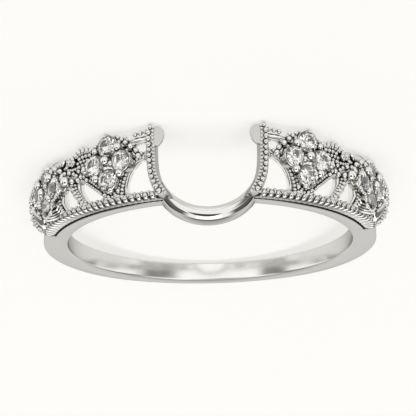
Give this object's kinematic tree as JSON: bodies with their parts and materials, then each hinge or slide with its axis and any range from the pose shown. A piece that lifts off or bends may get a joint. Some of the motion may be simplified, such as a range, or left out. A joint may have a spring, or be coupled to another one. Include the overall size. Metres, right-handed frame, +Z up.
{
  "type": "ring guard enhancer",
  "caption": "White gold openwork ring guard whose stone-set head has a half-circle cut-out that wraps another ring's setting.",
  "frame": {"origin": "on the surface that the ring lies on, under the middle of its bounding box", "axes": "+Z up from that surface; -Y from the finger towards the head; X from side to side. The finger axis leans 9.35 degrees from +Z towards +Y, as the ring lies"},
  "size_m": [0.0212, 0.0205, 0.0057],
  "materials": {
    "white_gold": "polished",
    "stone": "polished"
  },
  "bodies": {
    "root": {"band": "white_gold", "stone_01": "stone", "stone_02": "stone", "stone_03": "stone", "stone_04": "stone", "stone_05": "stone", "stone_06": "stone", "stone_07": "stone", "stone_08": "stone", "stone_09": "stone", "stone_10": "stone", "stone_11": "stone", "stone_12": "stone", "stone_13": "stone", "stone_14": "stone", "stone_15": "stone", "stone_16": "stone"}
  },
  "joints": []
}
